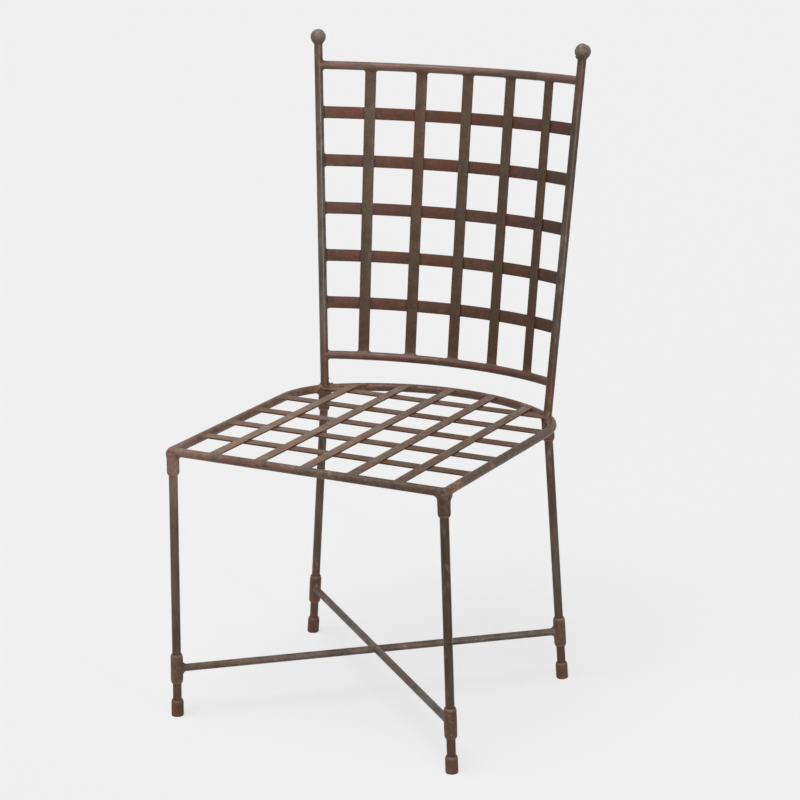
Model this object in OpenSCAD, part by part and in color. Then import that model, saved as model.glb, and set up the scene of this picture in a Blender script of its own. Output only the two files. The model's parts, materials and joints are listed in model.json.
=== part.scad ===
// Iron porch chair: a round-bar frame with a flat-bar lattice in the seat and in the bowed back,
// ball finials, sleeved legs and a crossed stretcher. Everything is welded.
// Millimetres. Z is up, the floor is Z = 0 and the chair faces -Y. Left and right are as seen
// from the front: left is -X, right is +X, and the two sides mirror each other across X = 0.

/* [Seat frame] */
// Height of the seat rod's axis above the floor
seat_h = 445; // [400:5:500]
// Width between the seat rod's axes at the front corners
front_w = 480; // [420:5:520]
// Widest distance between the seat rod's axes, where its rear bends begin
wide_w = 486; // [440:2:530]
// Depth from the front rail's axis to the rearmost point of the rod's axis
seat_depth = 499; // [485:1:540]
// Radius of the bow behind the seat
bow_r = 336; // [310:2:400]
// Radius of the bends at the rear corners
corner_r = 110; // [80:2:130]
// Diameter of the round bar in the seat frame, legs, posts and rails
rod_d = 14; // [12:0.5:16]

/* [Back frame] */
// Distance between the axes of the two posts where they stand on the seat rod
post_w = 417; // [390:1:440]
// Height of the finials' centres above the seat rod's axis
back_rise = 589; // [560:1:700]
// How far the finials lie behind the feet of the posts
back_set = 58; // [20:1:100]
// How far each finial lies outside the foot of its post
back_flare = 32; // [0:1:45]
// Bend radius of the rails and of the cross straps
back_r = 380; // [340:5:600]
// Height of the bottom rail's ends above the seat rod's axis
bottom_rail_h = 58; // [45:1:90]
// Height of the finials' centres above the top rail's ends
top_rail_drop = 46; // [30:1:60]
// Diameter of the ball finials
ball_d = 26; // [20:1:32]
// Length of the neck below each ball
neck_len = 7; // [4:1:12]

/* [Back lattice] */
// Thickness of all the flat bar
strap_t = 3; // [2:0.5:4]
// Width of the uprights
upright_w = 18.5; // [14:0.5:24]
// Spacing of the uprights on the bottom rail
upright_pitch_low = 76.5; // [66:0.5:84]
// Spacing of the uprights on the top rail
upright_pitch_high = 82; // [66:0.5:90]
// Width of the back's cross straps
back_cross_w = 20; // [14:0.5:26]
// Height of the lowest cross strap's ends above the seat rod's axis
back_cross_first = 147; // [130:1:165]
// Height from one cross strap to the next
back_cross_pitch = 79.5; // [70:0.5:85]

/* [Seat lattice] */
// Width of the straps that run from front to back
seat_long_w = 17; // [14:0.5:24]
// Spacing of the straps that run from front to back
seat_long_pitch = 81; // [70:1:86]
// Width of the straps that run from side to side
seat_cross_w = 19; // [14:0.5:24]
// Distance from the front rail's axis to the first cross strap
seat_cross_offset = 90; // [60:1:100]
// Distance from one cross strap to the next
seat_cross_pitch = 83; // [70:1:86]

/* [Legs] */
// How far the tops of the front legs lie inside the front corners
front_inset = 2.4; // [0:0.2:8]
// How far each front foot lies outside its front corner
front_splay = 8; // [0:1:40]
// How far each rear foot lies outside the foot of its post
rear_splay = 31.5; // [0:0.5:45]
// How far each rear foot lies in front of the foot of its post
rear_tuck = 5; // [-30:1:30]
// Outer diameter of the sockets, sleeves and feet
sleeve_d = 20; // [19:0.5:26]
// Length of the sockets below the seat rod's axis
socket_len = 38; // [25:1:60]
// Length of the chamfered end of a socket, sleeve or foot
sleeve_taper = 4.5; // [2:0.5:8]
// Height of the foot ferrules
foot_h = 28; // [20:1:45]
// Height of the stretchers' axes and of the middle of their sleeves
stretcher_h = 81; // [75:1:140]
// Length of the stretcher sleeves
stretcher_sleeve_len = 50; // [40:1:60]
// Diameter of the stretchers' round bar
stretcher_d = 12; // [9:0.5:14]

/* [Hidden] */
// Straps in each direction of the seat and of the back
strap_count = 5;
sides = [["left", -1], ["right", 1]];
corners = [["front_left", -1, false], ["front_right", 1, false],
           ["rear_left", -1, true], ["rear_right", 1, true]];

$fn = 96;

// Gap left between pieces that are welded to each other
weld_gap = 0.1;
// Gap all round a leg inside its socket, sleeve or foot
bore_gap = 0.15;
// How much thicker than its sides the seat rod is all round, at its front corners and its bow
corner_swelling = 0.1;
bow_swelling = 0.05;
// Angle by which the rear bends reach into the bow
bend_lap = 0.3;
// Radius of the hollow curve between a finial's ball and its neck
neck_fillet = 6;
// Height to which a socket's rim rises beside the seat rod, below the rod's axis
socket_rim = 2;
// Thickness of the closed bottom of a foot
foot_floor = 4;
// Rounding of a foot's bottom edge
foot_round = 2;
// How far a foot reaches below the floor before it is cut level
foot_trim = 0.8;

rod_r = rod_d / 2;
envelope_r = rod_r + weld_gap;
sleeve_bore_r = rod_r + bore_gap;
sleeve_lip_r = (sleeve_bore_r + sleeve_d / 2) / 2;
lean = atan2(back_set, back_rise);
top_rail_h = back_rise - top_rail_drop;

// Plan of the seat rod, measured from the front rail's axis: a straight side that touches the
// rear bend, and the bend that touches the bow
bow_c = seat_depth - bow_r;
bend_x = wide_w / 2 - corner_r;
bend_y = bow_c + sqrt(pow(bow_r - corner_r, 2) - pow(bend_x, 2));
bend_far = norm([bend_x - front_w / 2, bend_y]);
side_len = sqrt(pow(bend_far, 2) - pow(corner_r, 2));
side_dir = atan2(bend_y, bend_x - front_w / 2) - asin(corner_r / bend_far);
bend_start = side_dir - 90;
bend_end = atan2(bend_y - bow_c, bend_x);
post_y = bend_y + sqrt(pow(corner_r, 2) - pow(post_w / 2 - bend_x, 2));

// At height h above the seat rod: half the distance between the posts, the distance from the
// posts' plane to the centre of the back's bow, and the depth of the bow at x
function half_w(h) = post_w / 2 + back_flare * h / back_rise;
function bow_back(h) = sqrt(pow(back_r, 2) - pow(half_w(h), 2));
function sag_at(h, x) = sqrt(pow(back_r, 2) - pow(x, 2)) - bow_back(h);

// The front rail's place, which centres the whole chair on Y = 0
rear_reach = post_y + tan(lean) * top_rail_h + cos(lean) * sag_at(top_rail_h, 0) + rod_r;
front_y = (sleeve_d / 2 - rear_reach) / 2;

// Points on the axes of the right-hand side
corner = [front_w / 2, front_y, seat_h];
front_top = corner - [front_inset, 0, 0];
front_foot = [front_w / 2 + front_splay, front_y, 0];
post_foot = [post_w / 2, front_y + post_y, seat_h];
rear_foot = [post_w / 2 + rear_splay, front_y + post_y - rear_tuck, 0];
finial_c = post_foot + [back_flare, back_set, back_rise];
post_dir = (finial_c - post_foot) / norm(finial_c - post_foot);
post_top = finial_c - post_dir * (ball_d / 2 + neck_len);

// The same points on either side: s is -1 on the left and 1 on the right
function on_side(p, s) = [s * p[0], p[1], p[2]];
function leg_top(s, rear) = on_side(rear ? post_foot : front_top, s);
function leg_foot(s, rear) = on_side(rear ? rear_foot : front_foot, s);
function on_line(p, q, z) = p + (q - p) * (z - p[2]) / (q[2] - p[2]);

// The stretchers' ends, and the place where they cross
function stretcher_end(s, rear) = on_line(leg_foot(s, rear), leg_top(s, rear), stretcher_h);
front_end = stretcher_end(1, false);
rear_end = stretcher_end(1, true);
hub_share = front_end[0] / (front_end[0] + rear_end[0]);
hub = [0, front_end[1] + (rear_end[1] - front_end[1]) * hub_share, stretcher_h];

// Flat bar in the seat: the long straps' tops are level with the top of the rod, and the cross
// straps lie straight below them
long_z = seat_h + rod_r - strap_t;
cross_z = long_z - strap_t;
// Distance from the seat rod's axis to a strap's end whose underside is at height z
function reach(z) = sqrt(pow(rod_r, 2) - pow(z - seat_h, 2)) + weld_gap;

// Place of the i-th strap in a row, counted from the middle one
function from_middle(i) = i - (strap_count + 1) / 2;

rod_colour = "#5d4b42";
strap_colour = "#6b5848";
rail_colour = "#5a3f36";
leg_colour = "#59504a";
sleeve_colour = "#5f4138";

// Places children at p with their Z axis pointing to q
module along(p, q) {
    v = q - p;
    translate(p)
        rotate([0, acos(v[2] / norm(v)), atan2(v[1], v[0])])
            children();
}

module rod(p, q, d) {
    along(p, q) cylinder(h = norm(q - p), d = d);
}

// A round bar bent to radius r about the origin, between two angles
module bent_rod(r, d, from, to) {
    rotate([0, 0, from])
        rotate_extrude(angle = to - from, $fn = 180)
            translate([r, 0]) circle(d = d);
}

// One side of the seat rod, from its rounded front corner to just past the end of the bow
module side_bar(d) {
    translate(corner) sphere(d = d + 2 * corner_swelling);
    translate([bend_x, front_y + bend_y, seat_h])
        rotate([0, 0, bend_start]) {
            translate([corner_r, 0, 0]) rotate([90, 0, 0]) cylinder(h = side_len, d = d);
            bent_rod(corner_r, d, 0, bend_end - bend_start + bend_lap);
        }
}

// The seat rod apart from its front: two sides, two bends and the bow. The bends end inside
// the bow, which is a hair thicker, so that all of them make one solid.
module hoop_bar(d) {
    for (s = [0, 1])
        mirror([s, 0, 0]) side_bar(d);
    translate([0, front_y + bow_c, seat_h])
        bent_rod(bow_r, d + 2 * bow_swelling, bend_end, 180 - bend_end);
}

module front_bar(d) {
    rod(on_side(corner, -1), corner, d);
}

module seat_hoop() {
    color(rod_colour) hoop_bar(rod_d);
}

// The front rail, its ends fitted round the sides of the seat rod
module seat_front_rail() {
    color(rod_colour)
        difference() {
            front_bar(rod_d);
            hoop_bar(2 * envelope_r);
        }
}

// Outline of the space inside the seat frame, at a distance of gap from the rod's axis
module inside_frame(gap) {
    bend = corner_r - gap;
    edge = front_w / 2 - gap / cos(bend_start);
    turn = [bend_x + bend * cos(bend_start), bend_y + bend * sin(bend_start)];
    far = 2 * bow_r * [cos(bend_end), sin(bend_end)];
    translate([0, front_y])
        union() {
            polygon([[-edge, gap], [edge, gap], turn, [bend_x, bend_y],
                     [-bend_x, bend_y], [-turn[0], turn[1]]]);
            for (s = [-1, 1])
                translate([s * bend_x, bend_y]) circle(r = bend, $fn = 180);
            translate([0, bow_c])
                intersection() {
                    circle(r = bow_r - gap, $fn = 180);
                    polygon([[0, 0], far, [-far[0], far[1]]]);
                }
        }
}

// A strap that runs from front to back, its ends fitted to the rods
module seat_long_strap(i) {
    x = from_middle(i) * seat_long_pitch;
    color(strap_colour)
        translate([0, 0, long_z])
            intersection() {
                translate([x - seat_long_w / 2, front_y, 0])
                    cube([seat_long_w, seat_depth, strap_t]);
                linear_extrude(height = strap_t) inside_frame(reach(long_z));
            }
}

// A strap that runs from side to side, its ends fitted to the sides and bends of the rod
module seat_cross_strap(i) {
    y = front_y + seat_cross_offset + (i - 1) * seat_cross_pitch;
    widest = max(front_w, wide_w);
    color(strap_colour)
        translate([0, 0, cross_z])
            intersection() {
                translate([-widest / 2, y - seat_cross_w / 2, 0])
                    cube([widest, seat_cross_w, strap_t]);
                linear_extrude(height = strap_t) inside_frame(reach(cross_z));
            }
}

module post(s) {
    color(rod_colour)
        difference() {
            rod(on_side(post_foot, s), on_side(post_top, s), rod_d);
            hoop_bar(2 * envelope_r);
        }
}

// A ball and its neck, which sits on the end of the post: one turned piece, hollow-rounded
// where the ball meets the neck
module finial(s) {
    ball_r = ball_d / 2;
    hollow = [rod_r + neck_fillet, sqrt(pow(ball_r + neck_fillet, 2) - pow(rod_r + neck_fillet, 2))];
    on_ball = hollow * ball_r / (ball_r + neck_fillet);
    color(rod_colour)
        along(on_side(finial_c, s), on_side(post_foot, s))
            rotate_extrude() {
                intersection() {
                    circle(r = ball_r);
                    translate([0, -ball_r]) square([ball_r, ball_d]);
                }
                square([rod_r, ball_r + neck_len]);
                difference() {
                    polygon([[0, 0], on_ball, hollow, [rod_r, hollow[1]], [0, hollow[1]]]);
                    translate(hollow) circle(r = neck_fillet);
                }
            }
}

// Places children in the plane of the posts at height h above the seat rod, with their origin
// at the centre of the bow there and their Z axis leaning back with the posts
module on_bow(h) {
    translate([0, post_foot[1] + tan(lean) * h, seat_h + h])
        rotate([-lean, 0, 0])
            translate([0, -bow_back(h), 0])
                children();
}

module both_posts_envelope() {
    for (s = [-1, 1])
        rod(on_side(post_foot, s), on_side(finial_c, s), 2 * envelope_r);
}

// A rail of diameter d, bent between the posts' axes at height h above the seat rod
module rail_bar(h, d) {
    spread = asin(half_w(h) / back_r);
    on_bow(h) bent_rod(back_r, d, 90 - spread, 90 + spread);
}

module back_rail(h) {
    color(rail_colour)
        difference() {
            rail_bar(h, rod_d);
            both_posts_envelope();
        }
}

// Ends of the uprights on the two rails' axes, in the leaning plane: across and back
function upright_low(i) =
    let (x = from_middle(i) * upright_pitch_low) [x, sag_at(bottom_rail_h, x)];
function upright_high(i) =
    let (x = from_middle(i) * upright_pitch_high) [x, sag_at(top_rail_h, x)];
function upright_at(i, h) = upright_low(i)
    + (upright_high(i) - upright_low(i)) * (h - bottom_rail_h) / (top_rail_h - bottom_rail_h);

// How far a straight upright's back stands out behind the bow at height h
function stand_out(i, h) = let (p = upright_at(i, h)) p[1] - sag_at(h, p[0]);

// A cross strap, bent like the rails, that lies against the backs of the uprights
module back_cross_strap(i) {
    h = back_cross_first + (i - 1) * back_cross_pitch;
    spread = asin(half_w(h) / back_r);
    flat_edge = pow(upright_w, 2) / (8 * back_r);
    clear = max([for (k = [1 : strap_count]) stand_out(k, h)]) + flat_edge + weld_gap;
    color(rail_colour)
        difference() {
            on_bow(h)
                rotate([0, 0, 90 - spread])
                    rotate_extrude(angle = 2 * spread, $fn = 180)
                        translate([back_r + strap_t / 2 + clear, -back_cross_w / 2])
                            square([strap_t, back_cross_w]);
            both_posts_envelope();
        }
}

// A straight upright between the rails, turned to lie along their bend
module back_upright(i) {
    low = upright_low(i);
    v = concat(upright_high(i) - low, (top_rail_h - bottom_rail_h) / cos(lean));
    turn = asin(upright_at(i, (bottom_rail_h + top_rail_h) / 2)[0] / back_r);
    color(strap_colour)
        difference() {
            on_bow(bottom_rail_h)
                translate([low[0], bow_back(bottom_rail_h) + low[1], 0])
                    rotate([-asin(v[1] / norm(v)), atan2(v[0], v[2]), 0])
                        rotate([0, 0, -turn])
                            translate([-upright_w / 2, -strap_t / 2, 0])
                                cube([upright_w, strap_t, norm(v)]);
            rail_bar(bottom_rail_h, 2 * envelope_r);
            rail_bar(top_rail_h, 2 * envelope_r);
        }
}

// A round bar, cut square, from the floor of its foot to the underside of the seat rod
module leg(s, rear) {
    foot = leg_foot(s, rear);
    top = leg_top(s, rear);
    run = norm(top - foot);
    lean_rise = rod_r * norm([top[0] - foot[0], top[1] - foot[1]]) / run;
    low = foot_floor + weld_gap;
    color(leg_colour)
        along(foot, top)
            translate([0, 0, low])
                cylinder(h = run - envelope_r - lean_rise - low, d = rod_d);
}

// A turned tube that a leg passes through, from low to high along the leg, chamfered at its
// lower end and, with both_ends, at its upper end
module sleeve_tube(low, high, both_ends) {
    bore = sleeve_bore_r;
    outer = sleeve_d / 2;
    top = both_ends ? [[outer, high - sleeve_taper], [sleeve_lip_r, high]] : [[outer, high]];
    rotate_extrude()
        polygon(concat([[bore, low], [sleeve_lip_r, low], [outer, low + sleeve_taper]],
                       top, [[bore, high]]));
}

module leg_socket(s, rear) {
    foot = leg_foot(s, rear);
    top = leg_top(s, rear);
    run = norm(top - foot);
    color(sleeve_colour)
        difference() {
            along(foot, top) sleeve_tube(run - socket_len, run - socket_rim, false);
            hoop_bar(2 * envelope_r);
            if (!rear) front_bar(2 * envelope_r + 2 * weld_gap);
        }
}

module stretcher_sleeve(s, rear) {
    low = stretcher_h - stretcher_sleeve_len / 2;
    color(sleeve_colour)
        along(leg_foot(s, rear), leg_top(s, rear))
            sleeve_tube(low, low + stretcher_sleeve_len, true);
}

// A closed ferrule on the end of a leg, cut level with the floor
module foot(s, rear) {
    outer = sleeve_d / 2;
    edge = foot_round - foot_trim;
    color(sleeve_colour)
        intersection() {
            along(leg_foot(s, rear), leg_top(s, rear))
                rotate_extrude()
                    difference() {
                        union() {
                            polygon([[0, edge], [outer, edge], [outer, foot_h - sleeve_taper],
                                     [sleeve_lip_r, foot_h], [0, foot_h]]);
                            translate([0, -foot_trim])
                                square([outer - foot_round, 2 * foot_round]);
                            translate([outer - foot_round, edge]) circle(r = foot_round);
                        }
                        translate([0, foot_floor]) square([sleeve_bore_r, foot_h]);
                    }
            translate([-front_w, -seat_depth, 0]) cube([2 * front_w, 2 * seat_depth, 2 * foot_h]);
        }
}

module sleeve_envelopes() {
    for (s = [-1, 1], rear = [false, true])
        along(leg_foot(s, rear), leg_top(s, rear))
            cylinder(h = 2 * stretcher_h, d = sleeve_d + 2 * weld_gap);
}

module long_bar(d) {
    rod(stretcher_end(-1, false), stretcher_end(1, true), d);
}

module stretcher_long() {
    color(leg_colour)
        difference() {
            long_bar(stretcher_d);
            sleeve_envelopes();
        }
}

// Half of the other stretcher, from the crossing to the end at one leg
module stretcher_short(s, rear) {
    color(leg_colour)
        difference() {
            rod(hub, stretcher_end(s, rear), stretcher_d);
            long_bar(stretcher_d + 2 * weld_gap);
            sleeve_envelopes();
        }
}

seat_front_rail();
seat_hoop();
back_rail(bottom_rail_h);  // back_bottom_rail
back_rail(top_rail_h);  // back_top_rail
for (i = [1 : strap_count]) {
    seat_long_strap(i);
    seat_cross_strap(i);
    back_upright(i);
    back_cross_strap(i);
}
for (side = sides) {
    post(side[1]);
    finial(side[1]);
}
for (c = corners) {
    leg(c[1], c[2]);
    leg_socket(c[1], c[2]);
    stretcher_sleeve(c[1], c[2]);
    foot(c[1], c[2]);
}
stretcher_long();
stretcher_short(1, false);  // stretcher_short_front
stretcher_short(-1, true);  // stretcher_short_rear
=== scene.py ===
import json
from math import cos, pi, radians, sin, sqrt

import bmesh
import bpy
from mathutils import Matrix, Vector, noise
from mathutils.bvhtree import BVHTree

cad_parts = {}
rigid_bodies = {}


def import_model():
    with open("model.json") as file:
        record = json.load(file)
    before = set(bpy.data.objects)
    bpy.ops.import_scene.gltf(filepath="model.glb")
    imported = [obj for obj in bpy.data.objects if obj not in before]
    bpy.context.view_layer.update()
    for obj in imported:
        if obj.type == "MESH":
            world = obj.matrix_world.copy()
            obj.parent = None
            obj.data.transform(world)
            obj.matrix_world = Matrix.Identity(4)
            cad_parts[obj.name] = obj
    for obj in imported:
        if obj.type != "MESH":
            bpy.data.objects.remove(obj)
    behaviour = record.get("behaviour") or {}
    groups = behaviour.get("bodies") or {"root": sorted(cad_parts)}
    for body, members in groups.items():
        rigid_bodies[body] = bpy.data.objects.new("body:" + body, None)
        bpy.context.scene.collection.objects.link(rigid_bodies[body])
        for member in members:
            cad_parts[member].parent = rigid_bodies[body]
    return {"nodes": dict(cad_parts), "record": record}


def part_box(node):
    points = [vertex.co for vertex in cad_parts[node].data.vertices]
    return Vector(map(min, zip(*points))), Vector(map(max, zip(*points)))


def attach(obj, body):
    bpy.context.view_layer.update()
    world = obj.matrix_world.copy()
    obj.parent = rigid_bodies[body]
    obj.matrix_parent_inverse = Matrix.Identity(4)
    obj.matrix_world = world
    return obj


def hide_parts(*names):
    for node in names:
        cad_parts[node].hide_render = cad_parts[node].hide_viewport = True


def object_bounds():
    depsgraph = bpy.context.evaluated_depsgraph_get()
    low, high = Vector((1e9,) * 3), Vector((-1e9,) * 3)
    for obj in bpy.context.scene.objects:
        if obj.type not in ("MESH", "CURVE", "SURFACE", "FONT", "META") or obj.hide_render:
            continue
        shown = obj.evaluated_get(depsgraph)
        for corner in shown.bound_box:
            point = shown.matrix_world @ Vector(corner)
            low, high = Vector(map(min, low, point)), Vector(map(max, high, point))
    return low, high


for stray in list(bpy.data.objects):
    bpy.data.objects.remove(stray)

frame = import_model()
nodes = frame["nodes"]
cad_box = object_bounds()
SLOT_OF = {part["node"]: part["material_slot"] for part in frame["record"]["subparts"]}

MM = 0.001
SIDES = (("left", -1), ("right", 1))
CORNERS = ("front_left", "front_right", "rear_left", "rear_right")
STRAPS = range(1, 6)
# How far the skin of a weld stands proud of the bars that it covers
PROUD = 0.06 * MM
# How far the edges of the straps are worn round
STRAP_ROUND = 0.5 * MM
# Below this width a strap's face is one of its cut sides
CUT_SIDE = 3 * MM
# How coarse the skins of the turned pieces, balls and straps' welds are
TURNED_GRAIN = 0.7 * MM
BALL_GRAIN = 0.55 * MM
STRAP_WELD_GRAIN = 0.9 * MM
# A weld's skin is all weld metal up to the first distance from the second of its bars, and none
# from the second distance on
WELD_METAL = (1.5 * MM, 7 * MM)
# Hammer blows on each ball
BLOWS = 40
# Spatter of weld metal at the left post's foot, as (bar, place from the foot, radius) in
# millimetres
SPATTER = (("post_left", (9, 7, 15), 1.8), ("seat_hoop", (11.5, 8, 6), 2.2))


# Iron

def paint(code):
    """A hex colour as Blender's linear colour."""
    parts = [int(code[i:i + 2], 16) / 255 for i in (1, 3, 5)]
    return [c / 12.92 if c <= 0.04045 else ((c + 0.055) / 1.055) ** 2.4 for c in parts] + [1.0]


class Shop:
    """A material's node tree, with short ways to add and join its nodes."""

    def __init__(self, name, drawn=(1, 1, 1)):
        """drawn is below 1 along the axis in which the metal's marks are drawn out."""
        self.drawn = drawn
        self.material = bpy.data.materials.new(name)
        self.material.use_nodes = True
        self.tree = self.material.node_tree
        self.metal = self.tree.nodes["Principled BSDF"]
        self.place = self.tree.nodes.new("ShaderNodeTexCoord").outputs["Object"]

    def join(self, out, into):
        """Links an output socket to an input socket."""
        self.tree.links.new(out, into)

    def cloud(self, scale, detail, roughness, warp, shift):
        """Noise with scale patches per metre."""
        mapping = self.tree.nodes.new("ShaderNodeMapping")
        mapping.inputs["Location"].default_value = (shift, -0.7 * shift, 0.4 * shift)
        mapping.inputs["Scale"].default_value = self.drawn
        self.join(self.place, mapping.inputs["Vector"])
        node = self.tree.nodes.new("ShaderNodeTexNoise")
        node.inputs["Scale"].default_value = scale
        node.inputs["Detail"].default_value = detail
        node.inputs["Roughness"].default_value = roughness
        node.inputs["Distortion"].default_value = warp
        self.join(mapping.outputs["Vector"], node.inputs["Vector"])
        return node.outputs["Fac"]

    def step(self, value, low, high, to_low=0.0, to_high=1.0):
        """value's range from low to high, turned smoothly into the range to_low to to_high."""
        node = self.tree.nodes.new("ShaderNodeMapRange")
        node.interpolation_type = "SMOOTHSTEP"
        node.inputs["From Min"].default_value = low
        node.inputs["From Max"].default_value = high
        node.inputs["To Min"].default_value = to_low
        node.inputs["To Max"].default_value = to_high
        self.join(value, node.inputs["Value"])
        return node.outputs["Result"]

    def reckon(self, kind, a, b):
        """What the math node of that kind makes of two numbers or sockets."""
        node = self.tree.nodes.new("ShaderNodeMath")
        node.operation = kind
        for socket, value in zip(node.inputs, (a, b)):
            if isinstance(value, (int, float)):
                socket.default_value = value
            else:
                self.join(value, socket)
        return node.outputs["Value"]

    def over(self, share, below, above, kind="MIX"):
        """above laid over below where share is 1; colours are hex codes or sockets."""
        node = self.tree.nodes.new("ShaderNodeMix")
        node.data_type = "RGBA"
        node.blend_type = kind
        if isinstance(share, (int, float)):
            node.inputs["Factor"].default_value = share
        else:
            self.join(share, node.inputs["Factor"])
        for socket, value in ((node.inputs["A"], below), (node.inputs["B"], above)):
            if isinstance(value, str):
                socket.default_value = paint(value)
            else:
                self.join(value, socket)
        return node.outputs["Result"]

    def grey(self, value):
        """A number as a grey."""
        node = self.tree.nodes.new("ShaderNodeCombineColor")
        for socket in node.inputs[:3]:
            self.join(value, socket)
        return node.outputs["Color"]

    def mark(self, name):
        """What a piece's own mark of that name says, from 0 to 1, and 0 where it has none."""
        node = self.tree.nodes.new("ShaderNodeAttribute")
        node.attribute_name = name
        return node.outputs["Fac"]

    def height(self):
        """Height above the floor."""
        node = self.tree.nodes.new("ShaderNodeSeparateXYZ")
        self.join(self.place, node.inputs["Vector"])
        return node.outputs["Z"]

    def near(self, spot, reach):
        """1 at a spot, fading to 0 at a distance of reach."""
        node = self.tree.nodes.new("ShaderNodeVectorMath")
        node.operation = "DISTANCE"
        self.join(self.place, node.inputs[0])
        node.inputs[1].default_value = spot
        return self.step(node.outputs["Value"], 0.0, reach, 1.0, 0.0)


# How the metal's marks are drawn out on upright bars and on bars that run across the chair
UPRIGHT_BAR = (1, 1, 0.25)
LEVEL_BAR = (0.25, 1, 1)
# Where the posts and the legs are redder, as (height, reach, amount)
POST_RED = ((0.47, 0.09, 0.3), (1.0, 0.05, 0.12))
LEG_RED = ((0.4, 0.1, 0.2), (0.05, 0.11, 0.35))
# Colours that spread over whatever bars they meet, as (place, reach, colour, strength, share of
# that strength in the thin spots): painted shade on the front right leg, painted light on the
# front left corner, and stains: rust at the posts' feet and on the seat's rear, orange rust by
# the front right corner, pale dust on the right ball
STAINS_AND_PAINTED_LIGHT = (((0.26, -0.3, 0.3), 0.38, "#3a2d1e", 1.1, 0.6),
          ((-0.24, -0.28, 0.42), 0.12, "#8f7465", 0.75, 0.75),
          ((-0.2, 0.15, 0.455), 0.09, "#6b3f30", 0.9, 0.4),
          ((0.2, 0.15, 0.455), 0.09, "#6f4635", 0.9, 0.4),
          ((0.06, 0.15, 0.44), 0.28, "#57392b", 1.1, 0.5),
          ((0.2435, -0.252, 0.4435), 0.036, "#8a6038", 1.0, 0.15),
          ((0.24, 0.276, 1.034), 0.045, "#8d7d73", 0.6, 0.6))
# Painted shade, darkest about a place beside the right post: place, reach, colour and strength
PAINTED_SHADE_RIGHT = ((0.38, 0.05, 0.6), 0.66, "#3e3126", 0.8)
WELD_LIGHT = "#70503f"
WELD_DARK = "#4b3a30"
PIT_DARK = "#2f211a"


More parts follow.
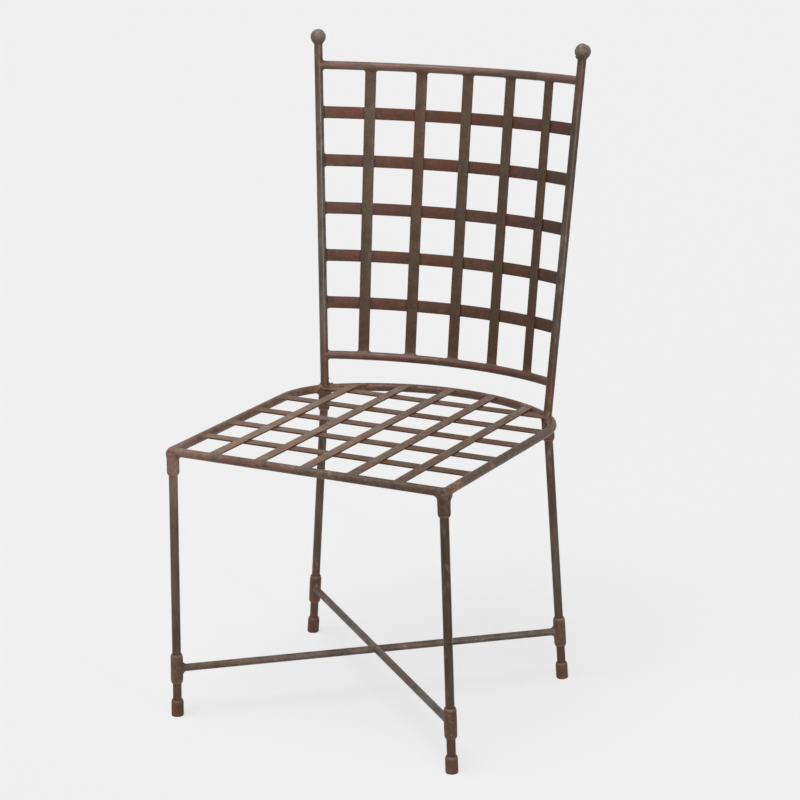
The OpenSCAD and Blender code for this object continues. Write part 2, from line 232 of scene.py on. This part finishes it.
def iron(name, skin, rust, shade, worn_and_sheen, rusty, gloss, shift, red_heights=(), drawn=(1, 1, 1)):
    """Old waxed iron. skin is its main colour, rust the redder stretches, shade the darker
    clouds, and the fourth colour that of rubbed places and of painted highlights on edges and
    rings. rusty is rust's share, gloss the mean roughness and shift the place in the noise.
    red_heights lists (height, reach, amount) where it is redder."""
    shop = Shop(name, drawn)
    red = shop.cloud(8, 4, 0.5, 0.6, shift)
    for level, reach, amount in red_heights:
        away = shop.reckon("SUBTRACT", shop.height(), level)
        away = shop.reckon("ABSOLUTE", away, 0)
        red = shop.reckon("ADD", red, shop.step(away, 0.0, reach, amount, 0.0))
    middle = 0.66 - 0.32 * rusty
    stretches = shop.step(red, middle - 0.13, middle + 0.13)
    colour = shop.over(stretches, skin, rust)
    clouds = shop.step(shop.cloud(42, 5, 0.6, 0.4, shift + 3.1), 0.4, 0.64, 0.0, 0.75)
    colour = shop.over(clouds, colour, shade)
    # Painted shade that darkens the iron towards the right side of the chair
    place, reach, painted_shade, strength = PAINTED_SHADE_RIGHT
    colour = shop.over(shop.reckon("MULTIPLY", shop.near(place, reach), strength), colour, painted_shade)
    flecks = shop.cloud(130, 5, 0.6, 0.5, 9.3)
    # Stains, with painted shade on the front right leg and painted light on the front left corner
    for place, reach, stain_and_light, strength, thin in STAINS_AND_PAINTED_LIGHT:
        ragged = shop.step(flecks, 0.4, 0.6, thin * strength, strength)
        colour = shop.over(shop.reckon("MULTIPLY", shop.near(place, reach), ragged), colour, stain_and_light)

    burnt = shop.over(shop.step(shop.cloud(120, 4, 0.6, 0.3, shift + 5.9), 0.35, 0.62),
                      WELD_LIGHT, WELD_DARK)
    colour = shop.over(shop.reckon("MULTIPLY", shop.mark("weld"), 0.55), colour, burnt)

    # Lighter places: random rubs, and the marked edges and rings, which are wear and painted
    # highlight
    rubs = shop.step(shop.cloud(90, 6, 0.6, 0.3, shift + 7.7), 0.55, 0.7, 0.0, 0.35)
    rubbed = shop.reckon("MULTIPLY", shop.mark("rubbed"),
                         shop.step(shop.cloud(48, 5, 0.6, 0.2, shift + 6.1), 0.3, 0.65, 0.25, 0.8))
    colour = shop.over(shop.reckon("MAXIMUM", rubs, rubbed), colour, worn_and_sheen)
    mottle = shop.step(shop.cloud(230, 6, 0.65, 0.0, shift + 1.9), 0.3, 0.7, 0.82, 1.16)
    colour = shop.over(1.0, colour, shop.grey(mottle), "MULTIPLY")
    pits = shop.step(shop.cloud(820, 3, 0.5, 0.0, shift + 5.3), 0.64, 0.74)
    colour = shop.over(shop.reckon("MULTIPLY", pits, 0.35), colour, PIT_DARK)
    shop.join(colour, shop.metal.inputs["Base Color"])

    dull = shop.step(shop.cloud(110, 5, 0.6, 0.3, shift + 2.2), 0.3, 0.7,
                     gloss - 0.07, gloss + 0.08)
    dull = shop.reckon("ADD", dull, shop.reckon("MULTIPLY", stretches, 0.07))
    dull = shop.reckon("SUBTRACT", dull, shop.reckon("MULTIPLY", rubs, 0.15))
    shop.join(dull, shop.metal.inputs["Roughness"])
    shop.metal.inputs["Metallic"].default_value = 0.12
    shop.metal.inputs["IOR"].default_value = 1.5
    shop.metal.inputs["Specular IOR Level"].default_value = 0.3

    hammering = shop.cloud(75, 2, 0.5, 0.2, shift + 4.4)
    mill_scale = shop.cloud(430, 4, 0.6, 0.0, shift + 6.6)
    grain = shop.cloud(1300, 3, 0.6, 0.0, shift + 8.8)
    relief = shop.reckon("ADD", shop.reckon("MULTIPLY", hammering, 0.9),
                         shop.reckon("MULTIPLY", mill_scale, 0.3))
    relief = shop.reckon("ADD", relief, shop.reckon("MULTIPLY", grain, 0.1))
    relief = shop.reckon("SUBTRACT", relief, shop.reckon("MULTIPLY", pits, 0.2))
    bump = shop.tree.nodes.new("ShaderNodeBump")
    bump.inputs["Strength"].default_value = 0.6
    bump.inputs["Distance"].default_value = 0.45 * MM
    shop.join(relief, bump.inputs["Height"])
    shop.join(bump.outputs["Normal"], shop.metal.inputs["Normal"])
    return shop.material


FINISHES = {
    "seat_rod": iron("rod_iron", "#715e50", "#6f4b3d", "#4a3e34", "#8f8278", 0.5, 0.38, 0.0),
    "seat_strap": iron("seat_strap_iron", "#83705d", "#87644f", "#635141", "#8f8071", 0.45, 0.5,
                       11.0),
    # The lower straps of the seat: rustier, and painted darker as shade beneath the long straps
    "seat_cross": iron("seat_cross_iron", "#705f50", "#764f3e", "#594636", "#877767", 0.6, 0.5,
                       17.0),
    "post": iron("post_iron", "#60534a", "#5f4337", "#40362e", "#8f857d", 0.4, 0.33, 23.0,
                 POST_RED, UPRIGHT_BAR),
    "finial": iron("finial_iron", "#67564b", "#614438", "#40352d", "#9a8e85", 0.4, 0.36, 23.0,
                   POST_RED),
    "back_rail": iron("rail_iron", "#735d52", "#6f4c40", "#53413a", "#91807a", 0.6, 0.38, 43.0,
                      (), LEVEL_BAR),
    "upright": iron("upright_iron", "#544435", "#593d2f", "#45372b", "#69574a", 0.35, 0.5, 57.0),
    "back_strap": iron("back_strap_iron", "#5c4233", "#60392b", "#4c362a", "#705343", 0.7, 0.5,
                       61.0),
    "leg": iron("leg_iron", "#5e5248", "#604337", "#3d342c", "#8b8279", 0.35, 0.35, 73.0, LEG_RED,
                UPRIGHT_BAR),
    "sleeve": iron("sleeve_iron", "#70574a", "#704b3b", "#563f34", "#8f7a6e", 0.55, 0.46, 83.0),
    "foot": iron("foot_iron", "#694e3e", "#6b4331", "#4f372b", "#836c5f", 0.6, 0.5, 97.0),
    "stretcher": iron("stretcher_iron", "#665a50", "#62483c", "#433a32", "#91877e", 0.4, 0.38,
                      101.0),
}
FINISH_ORDER = list(FINISHES)
# Darker, redder iron for the straps' cut sides: rust, and painted shade
SHADED_CUT_EDGE = iron("cut_edge_iron", "#573c31", "#5b3327", "#432e25", "#7d6656", 0.6, 0.55, 131.0)


def finish_of(node):
    """A node's finish: its own slot's, but the lower straps of the seat are rustier and painted
    darker, as shade beneath the long straps.
    """
    return "seat_cross" if node.startswith("seat_cross") else SLOT_OF[node]


# Shaping

def merged(node):
    """The shape of a CAD node as a bmesh of closed faces."""
    bm = bmesh.new()
    bm.from_mesh(nodes[node].data)
    bmesh.ops.remove_doubles(bm, verts=bm.verts, dist=1e-6)
    return bm


def stub(node, centre, room):
    """The part of a CAD node inside a box about centre, closed where it is cut."""
    bm = merged(node)
    for axis in range(3):
        for way in (-1, 1):
            normal = Vector([way if i == axis else 0 for i in range(3)])
            cut = centre + normal * room[axis]
            bmesh.ops.bisect_plane(bm, geom=bm.verts[:] + bm.edges[:] + bm.faces[:],
                                   plane_co=cut, plane_no=normal, clear_outer=True)
            rim = [e for e in bm.edges if e.is_boundary]
            if rim:
                bmesh.ops.holes_fill(bm, edges=rim, sides=0)
    return bm


def gathered(shapes):
    """Several bmeshes as one, in the same order."""
    whole = bmesh.new()
    mesh = bpy.data.meshes.new("gather")
    for bm in shapes:
        bm.to_mesh(mesh)
        bm.free()
        whole.from_mesh(mesh)
    bpy.data.meshes.remove(mesh)
    return whole


def recast(bm, grain):
    """One closed skin round everything in bm, with faces about grain wide."""
    mesh = bpy.data.meshes.new("cast")
    bm.to_mesh(mesh)
    bm.free()
    obj = bpy.data.objects.new("cast", mesh)
    bpy.context.scene.collection.objects.link(obj)
    remesh = obj.modifiers.new("cast", "REMESH")
    remesh.mode = "VOXEL"
    remesh.voxel_size = grain
    depsgraph = bpy.context.evaluated_depsgraph_get()
    cast = bpy.data.meshes.new_from_object(obj.evaluated_get(depsgraph))
    bpy.data.objects.remove(obj)
    bpy.data.meshes.remove(mesh)
    skin = bmesh.new()
    skin.from_mesh(cast)
    bpy.data.meshes.remove(cast)
    return skin


def smooth(bm, rounds):
    """Evens the skin out, so many times over."""
    for _ in range(rounds):
        bmesh.ops.smooth_vert(bm, verts=bm.verts, factor=0.5, use_axis_x=True, use_axis_y=True,
                              use_axis_z=True)


def swell(bm, depth):
    """Moves the skin out by depth, or in where depth is negative."""
    bm.normal_update()
    for v in bm.verts:
        v.co += depth * v.normal


def ease(value, low, high):
    """0 up to low, 1 from high on, and smooth between."""
    t = min(1.0, max(0.0, (value - low) / (high - low)))
    return t * t * (3 - 2 * t)


def raise_over(v, tree):
    """Lifts a point of a skin just above the bar under it, and gives its distance from the bar."""
    spot, normal, _, gap = tree.find_nearest(v.co)
    proud = (v.co - spot).dot(normal)
    if gap < MM and proud < PROUD and v.normal.dot(normal) > 0.6:
        v.co += (PROUD - proud) * normal
    return gap


def piece(name, bm, materials, replaced=(), marks=()):
    """A finished piece that rides on the chair, kept inside the CAD's box. Its faces shade
    smoothly up to 40 degrees. marks lists (name, a value for each point)."""
    bmesh.ops.recalc_face_normals(bm, faces=bm.faces)
    for v in bm.verts:
        v.co = [min(max(c, low), high) for c, low, high in zip(v.co, *cad_box)]
    for face in bm.faces:
        face.smooth = True
    for edge in bm.edges:
        edge.smooth = len(edge.link_faces) == 2 and edge.calc_face_angle() < radians(40)
    mesh = bpy.data.meshes.new(name)
    bm.to_mesh(mesh)
    bm.free()
    for material in materials:
        mesh.materials.append(material)
    for mark, values in marks:
        mesh.attributes.new(mark, "FLOAT", "POINT").data.foreach_set("value", values)
    obj = bpy.data.objects.new(name, mesh)
    bpy.context.scene.collection.objects.link(obj)
    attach(obj, "root")
    if replaced:
        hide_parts(*replaced)


# Flat straps

def face_width(face):
    """Width of a long face."""
    return face.calc_area() / max(e.calc_length() for e in face.edges)


def strap(node):
    """A flat strap with its edges worn round and its cut sides darker and redder than its faces:
    rust, and painted shade.
    """
    bm = merged(node)
    bmesh.ops.dissolve_limit(bm, angle_limit=radians(0.4), verts=bm.verts, edges=bm.edges)
    sharp = [e for e in bm.edges
             if len(e.link_faces) == 2 and e.calc_face_angle() > radians(35)]
    bmesh.ops.bevel(bm, geom=sharp, offset=STRAP_ROUND, affect="EDGES", segments=2, profile=0.5,
                    material=-1, clamp_overlap=True)
    rounded = {f for f in bm.faces if face_width(f) < STRAP_ROUND}
    # The cut sides take the darker iron of the second slot: rust, and painted shade
    for face in bm.faces:
        if face not in rounded and face_width(face) < CUT_SIDE:
            face.material_index = 1
    # The rounded edges are marked lighter: wear, and a painted highlight along the edges
    rubbed = [float(all(f in rounded for f in v.link_faces)) for v in bm.verts]
    piece(node + "_dressed", bm, (FINISHES[finish_of(node)], SHADED_CUT_EDGE), (node,),
          (("rubbed", rubbed),))


for i in STRAPS:
    for row in ("seat_long_strap_", "seat_cross_strap_", "back_upright_", "back_cross_strap_"):
        strap(f"{row}{i}")


# Turned sockets, sleeves and feet

def worn_down(node):
    """A turned piece with its edges worn round and its skin slightly dented."""
    bm = recast(merged(node), TURNED_GRAIN)
    smooth(bm, 5)
    bm.normal_update()
    rubbed = []
    for v in bm.verts:
        # The sloped faces of the steps are marked lighter: wear, and a painted highlight ring
        slope = abs(v.normal.z)
        rubbed.append(0.6 * ease(slope, 0.12, 0.4) * (1 - ease(slope, 0.75, 0.95)))
        v.co -= 0.22 * MM * abs(noise.noise(v.co * 70)) * v.normal
    piece(node + "_dressed", bm, (FINISHES[finish_of(node)],), (node,),
          (("rubbed", rubbed),))


for corner in CORNERS:
    for row in ("leg_socket_", "stretcher_sleeve_", "foot_"):
        worn_down(row + corner)


# Ball finials

def lump(centre, size):
    """A rounded lump of metal."""
    bm = bmesh.new()
    bmesh.ops.create_icosphere(bm, subdivisions=3, radius=1.0)
    bmesh.ops.scale(bm, vec=size, verts=bm.verts)
    bmesh.ops.translate(bm, vec=centre, verts=bm.verts)
    return bm


def even_directions(count, seed):
    """Unit vectors spread evenly over a ball, each turned a little out of its place."""
    out = []
    for k in range(count):
        z = 1 - (2 * k + 1) / count
        angle = k * pi * (3 - sqrt(5)) + seed
        ring = sqrt(1 - z * z)
        v = Vector((ring * cos(angle), ring * sin(angle), z))
        drift = [noise.noise(v * 3 + Vector((seed + 7.3 * axis, 0, 0))) for axis in range(3)]
        out.append((v + 0.12 * Vector(drift)).normalized())
    return out


def finial(side, seed, drip=None):
    """A ball hammered flat in many small places, with its neck run into the post. A drip of weld
    metal may hang from it, in the direction of drip. seed turns the blows."""
    node = f"finial_{side}"
    low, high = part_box(node)
    ball_r = (high.x - low.x) / 2
    centre = Vector(((low.x + high.x) / 2, (low.y + high.y) / 2, high.z - ball_r))
    neck_end = Vector(((low.x + high.x) / 2, (low.y + high.y) / 2, low.z))
    shapes = [merged(node), stub(f"post_{side}", neck_end, (20 * MM, 20 * MM, 7 * MM))]
    if drip:
        shapes.append(lump(centre + drip * 0.86 * ball_r, (3.6 * MM, 3.6 * MM, 4.2 * MM)))
    post = BVHTree.FromBMesh(shapes[1])
    bm = recast(gathered(shapes), BALL_GRAIN)
    smooth(bm, 3)
    neck_top = centre.z - 0.8 * ball_r
    for k, blow in enumerate(even_directions(BLOWS, seed)):
        depth = ball_r - (0.3 + 0.35 * (k % 3)) * MM
        for v in bm.verts:
            excess = (v.co - centre).dot(blow) - depth
            if blow.z > -0.7 and v.co.z > neck_top and 0 < excess < 1.5 * MM:
                v.co -= excess * blow
    bm.normal_update()
    for v in bm.verts:
        if v.co.z < low.z + 2 * MM:
            raise_over(v, post)
    on_ball = [0.7 * ease(v.co.z, centre.z - ball_r, centre.z + ball_r) for v in bm.verts]
    piece(node + "_dressed", bm, (FINISHES["finial"],), (node,), (("rubbed", on_ball),))


finial("left", 0.4)
finial("right", 2.1, Vector((-0.62, -0.45, -0.64)))

# The bars that nothing replaces
for node in nodes.values():
    if not node.hide_render:
        node.data.materials[0] = FINISHES[finish_of(node.name)]


# Welds

def end_of(node, axis, way):
    """Middle of the end of a CAD node that lies farthest along an axis."""
    points = [v.co.copy() for v in nodes[node].data.vertices]
    far = max(way * p[axis] for p in points)
    at_end = [p for p in points if way * p[axis] > far - 1.2 * MM]
    low = Vector([min(p[i] for p in at_end) for i in range(3)])
    high = Vector([max(p[i] for p in at_end) for i in range(3)])
    return (low + high) / 2


def block(centre, size):
    """A block of weld metal."""
    bm = bmesh.new()
    bmesh.ops.create_cube(bm, size=1.0)
    bmesh.ops.scale(bm, vec=size, verts=bm.verts)
    bmesh.ops.translate(bm, vec=centre, verts=bm.verts)
    return bm


def weld(bars, centre, room, hollow, metal=(), grain=0.8 * MM, ripple=0.25 * MM):
    """The skin of the weld that joins bars inside the room about centre, and how far each of its
    points is weld metal. Its corners are rounded out by hollow, its faces are about grain wide,
    and metal is what was added to the bars' own shapes. ripple is how uneven it is."""
    stubs = [(finish_of(bar), stub(bar, centre, room)) for bar in bars]
    trees = [(finish, BVHTree.FromBMesh(bm)) for finish, bm in stubs]
    skin = recast(gathered([bm for finish, bm in stubs] + list(metal)), grain)
    swell(skin, hollow)
    skin = recast(skin, grain)
    smooth(skin, 5)
    swell(skin, -hollow)
    smooth(skin, 2)
    skin.normal_update()
    shares = []
    for v in skin.verts:
        found = sorted(raise_over(v, tree) for finish, tree in trees)
        share = 1 - ease(found[1], *WELD_METAL)
        v.co += share * ripple * noise.noise(v.co * 330) * v.normal
        shares.append(share)
    for face in skin.faces:
        middle = face.calc_center_median()
        finish = min(trees, key=lambda part: part[1].find_nearest(middle)[3])[0]
        face.material_index = FINISH_ORDER.index(finish)
    return skin, shares


def weld_piece(name, welds):
    """Several welds as one piece, each in the finish of the bars that it covers."""
    shares = [share for skin, marks in welds for share in marks]
    whole = gathered([skin for skin, marks in welds])
    piece(name, whole, list(FINISHES.values()), (), (("weld", shares),))


seat_welds = []
for i in STRAPS:
    node = f"seat_long_strap_{i}"
    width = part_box(node)[1].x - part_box(node)[0].x
    for way, bar in ((-1, "seat_front_rail"), (1, "seat_hoop")):
        end = end_of(node, 1, way)
        fill = block(end + Vector((0, way * 3 * MM, 0)), (width, 7 * MM, 2.9 * MM))
        seat_welds.append(weld((node, bar), end, (15 * MM, 12 * MM, 14 * MM), 2 * MM, (fill,),
                               STRAP_WELD_GRAIN))
    node = f"seat_cross_strap_{i}"
    for way in (-1, 1):
        end = end_of(node, 0, way)
        seat_welds.append(weld((node, "seat_hoop"), end, (12 * MM, 16 * MM, 14 * MM), 2.5 * MM,
                               grain=STRAP_WELD_GRAIN))
weld_piece("seat_strap_welds", seat_welds)

back_welds = []
for i in STRAPS:
    node = f"back_upright_{i}"
    for way, bar in ((-1, "back_bottom_rail"), (1, "back_top_rail")):
        end = end_of(node, 2, way)
        back_welds.append(weld((node, bar), end, (15 * MM, 13 * MM, 13 * MM), 2 * MM,
                               grain=STRAP_WELD_GRAIN))
    node = f"back_cross_strap_{i}"
    for side, way in SIDES:
        end = end_of(node, 0, way)
        back_welds.append(weld((node, f"post_{side}"), end, (13 * MM, 13 * MM, 16 * MM), 2 * MM,
                               grain=STRAP_WELD_GRAIN))
weld_piece("back_strap_welds", back_welds)

frame_welds = []
for side, way in SIDES:
    post = f"post_{side}"
    for bar in ("back_bottom_rail", "back_top_rail"):
        end = end_of(bar, 0, way)
        frame_welds.append(weld((bar, post), end, (14 * MM, 14 * MM, 14 * MM), 1.8 * MM))
    foot = end_of(post, 2, -1)
    frame_welds.append(weld((post, "seat_hoop", f"leg_socket_rear_{side}"), foot,
                            (19 * MM, 19 * MM, 21 * MM), 4 * MM, ripple=0.5 * MM))
    socket = f"leg_socket_front_{side}"
    low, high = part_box(socket)
    corner = Vector(((low.x + high.x) / 2, (low.y + high.y) / 2, high.z))
    bead = lump(corner + Vector((way * 1.5 * MM, 0.7 * MM, -3 * MM)),
                (10.4 * MM, 9.6 * MM, 11 * MM))
    fill = lump(corner + Vector((way * 4.5 * MM, 6 * MM, -4 * MM)), (6 * MM, 7 * MM, 8 * MM))
    frame_welds.append(weld((socket, "seat_hoop", "seat_front_rail"), corner,
                            (24 * MM, 24 * MM, 21 * MM), 5.5 * MM, (bead, fill)))
    if side == "left":
        for bar, place, radius in SPATTER:
            surface = BVHTree.FromBMesh(merged(bar))
            spot, outward = surface.find_nearest(foot + MM * Vector(place))[:2]
            bead = lump(spot + 0.4 * radius * MM * outward, [radius * MM] * 3)
            frame_welds.append((bead, [1.0] * len(bead.verts)))
weld_piece("frame_welds", frame_welds)

leg_welds = []
SLEEVE_ENDS = (("stretcher_long", -1, "front_left"), ("stretcher_long", 1, "rear_right"),
               ("stretcher_short_front", 1, "front_right"),
               ("stretcher_short_rear", -1, "rear_left"))
for bar, way, corner in SLEEVE_ENDS:
    end = end_of(bar, 0, way)
    leg_welds.append(weld((bar, f"stretcher_sleeve_{corner}"), end, (14 * MM, 14 * MM, 14 * MM),
                          4 * MM))
hub = end_of("stretcher_short_front", 0, -1)
leg_welds.append(weld(("stretcher_long", "stretcher_short_front", "stretcher_short_rear"), hub,
                      (18 * MM, 18 * MM, 12 * MM), 3 * MM))
weld_piece("stretcher_welds", leg_welds)


# Floor, light and camera

def sees_backdrop(tree):
    """1 for what the camera sees straight, in a reflection or through glass, otherwise 0."""
    ray = tree.nodes.new("ShaderNodeLightPath")
    total = ray.outputs["Is Camera Ray"]
    for kind in ("Is Glossy Ray", "Is Transmission Ray"):
        node = tree.nodes.new("ShaderNodeMath")
        node.operation = "ADD"
        tree.links.new(total, node.inputs[0])
        tree.links.new(ray.outputs[kind], node.inputs[1])
        total = node.outputs["Value"]
    return total


BACKDROP = "#f0f0f1"
FLOOR_PAINT = "#d0d0d1"
# Share of plain white in what the camera sees of the floor
FLOOR_GLOW = 0.66
ROOM_LIGHT = 0.2

floor_shop = Shop("floor_paint")
floor_shop.metal.inputs["Base Color"].default_value = paint(FLOOR_PAINT)
floor_shop.metal.inputs["Roughness"].default_value = 0.9
floor_shop.metal.inputs["Specular IOR Level"].default_value = 0.1
glow = floor_shop.tree.nodes.new("ShaderNodeEmission")
glow.inputs["Color"].default_value = paint("#ffffff")
blend = floor_shop.tree.nodes.new("ShaderNodeMixShader")
seen_glow = floor_shop.reckon("MULTIPLY", sees_backdrop(floor_shop.tree), FLOOR_GLOW)
floor_shop.join(seen_glow, blend.inputs[0])
floor_shop.join(floor_shop.metal.outputs[0], blend.inputs[1])
floor_shop.join(glow.outputs[0], blend.inputs[2])
floor_shop.join(blend.outputs[0], floor_shop.tree.nodes["Material Output"].inputs["Surface"])

ground = bmesh.new()
bmesh.ops.create_grid(ground, x_segments=1, y_segments=1, size=60)
floor_mesh = bpy.data.meshes.new("floor")
ground.to_mesh(floor_mesh)
ground.free()
floor_mesh.materials.append(floor_shop.material)
floor = bpy.data.objects.new("floor", floor_mesh)
bpy.context.scene.collection.objects.link(floor)


def lamp(name, strength, width, azimuth, elevation):
    """A far soft light, width degrees across in the sky, that shines from azimuth (0 is the
    front, 90 the right) and elevation."""
    data = bpy.data.lights.new(name, "SUN")
    data.energy = strength
    data.angle = radians(width)
    obj = bpy.data.objects.new(name, data)
    a, e = radians(azimuth), radians(elevation)
    source = Vector((sin(a) * cos(e), -cos(a) * cos(e), sin(e)))
    obj.rotation_euler = source.to_track_quat("Z", "Y").to_euler()
    bpy.context.scene.collection.objects.link(obj)


def soft_box(name, place, aim, width, height, spread, strength):
    """A soft box at place that shines towards aim, within spread degrees."""
    data = bpy.data.lights.new(name, "AREA")
    data.shape = "RECTANGLE"
    data.size = width
    data.size_y = height
    data.energy = strength
    data.spread = radians(spread)
    obj = bpy.data.objects.new(name, data)
    obj.location = place
    obj.rotation_euler = (Vector(place) - Vector(aim)).to_track_quat("Z", "Y").to_euler()
    obj.visible_camera = False
    bpy.context.scene.collection.objects.link(obj)


lamp("overhead_light", 2.35, 40, -15, 72)
lamp("front_light", 0.3, 30, 25, 25)
soft_box("strip_light", (1.9, -1.25, 1.15), (0, 0, 1.0), 0.2, 1.6, 50, 2.6)

world = bpy.data.worlds.new("studio")
bpy.context.scene.world = world
world.use_nodes = True
sky = world.node_tree
room_light = sky.nodes["Background"]
room_light.inputs["Color"].default_value = (1, 1, 1, 1)
room_light.inputs["Strength"].default_value = ROOM_LIGHT
backdrop = sky.nodes.new("ShaderNodeBackground")
backdrop.inputs["Color"].default_value = paint(BACKDROP)
backdrop.inputs["Strength"].default_value = 1.0
chosen = sky.nodes.new("ShaderNodeMixShader")
sky.links.new(sees_backdrop(sky), chosen.inputs[0])
sky.links.new(room_light.outputs[0], chosen.inputs[1])
sky.links.new(backdrop.outputs[0], chosen.inputs[2])
sky.links.new(chosen.outputs[0], sky.nodes["World Output"].inputs["Surface"])

# The camera as it was fitted to the photo's edges
CAMERA_PLACE = (1.8067, -3.3158, 1.5449)
yaw, pitch, roll = radians(28.377), radians(-15.658), radians(-0.743)
ahead = Vector((-sin(yaw) * cos(pitch), cos(yaw) * cos(pitch), sin(pitch)))
across = Vector((cos(yaw), sin(yaw), 0))
upward = across.cross(ahead)
right = cos(roll) * across + sin(roll) * upward
top = cos(roll) * upward - sin(roll) * across
lens = bpy.data.cameras.new("camera")
lens.sensor_width = 36
lens.lens = 109.67
lens.clip_end = 200
camera = bpy.data.objects.new("camera", lens)
turn = Matrix((right, top, -ahead)).transposed().to_4x4()
camera.matrix_world = Matrix.Translation(CAMERA_PLACE) @ turn
bpy.context.scene.collection.objects.link(camera)
bpy.context.scene.camera = camera
bpy.context.scene.view_settings.view_transform = "Standard"
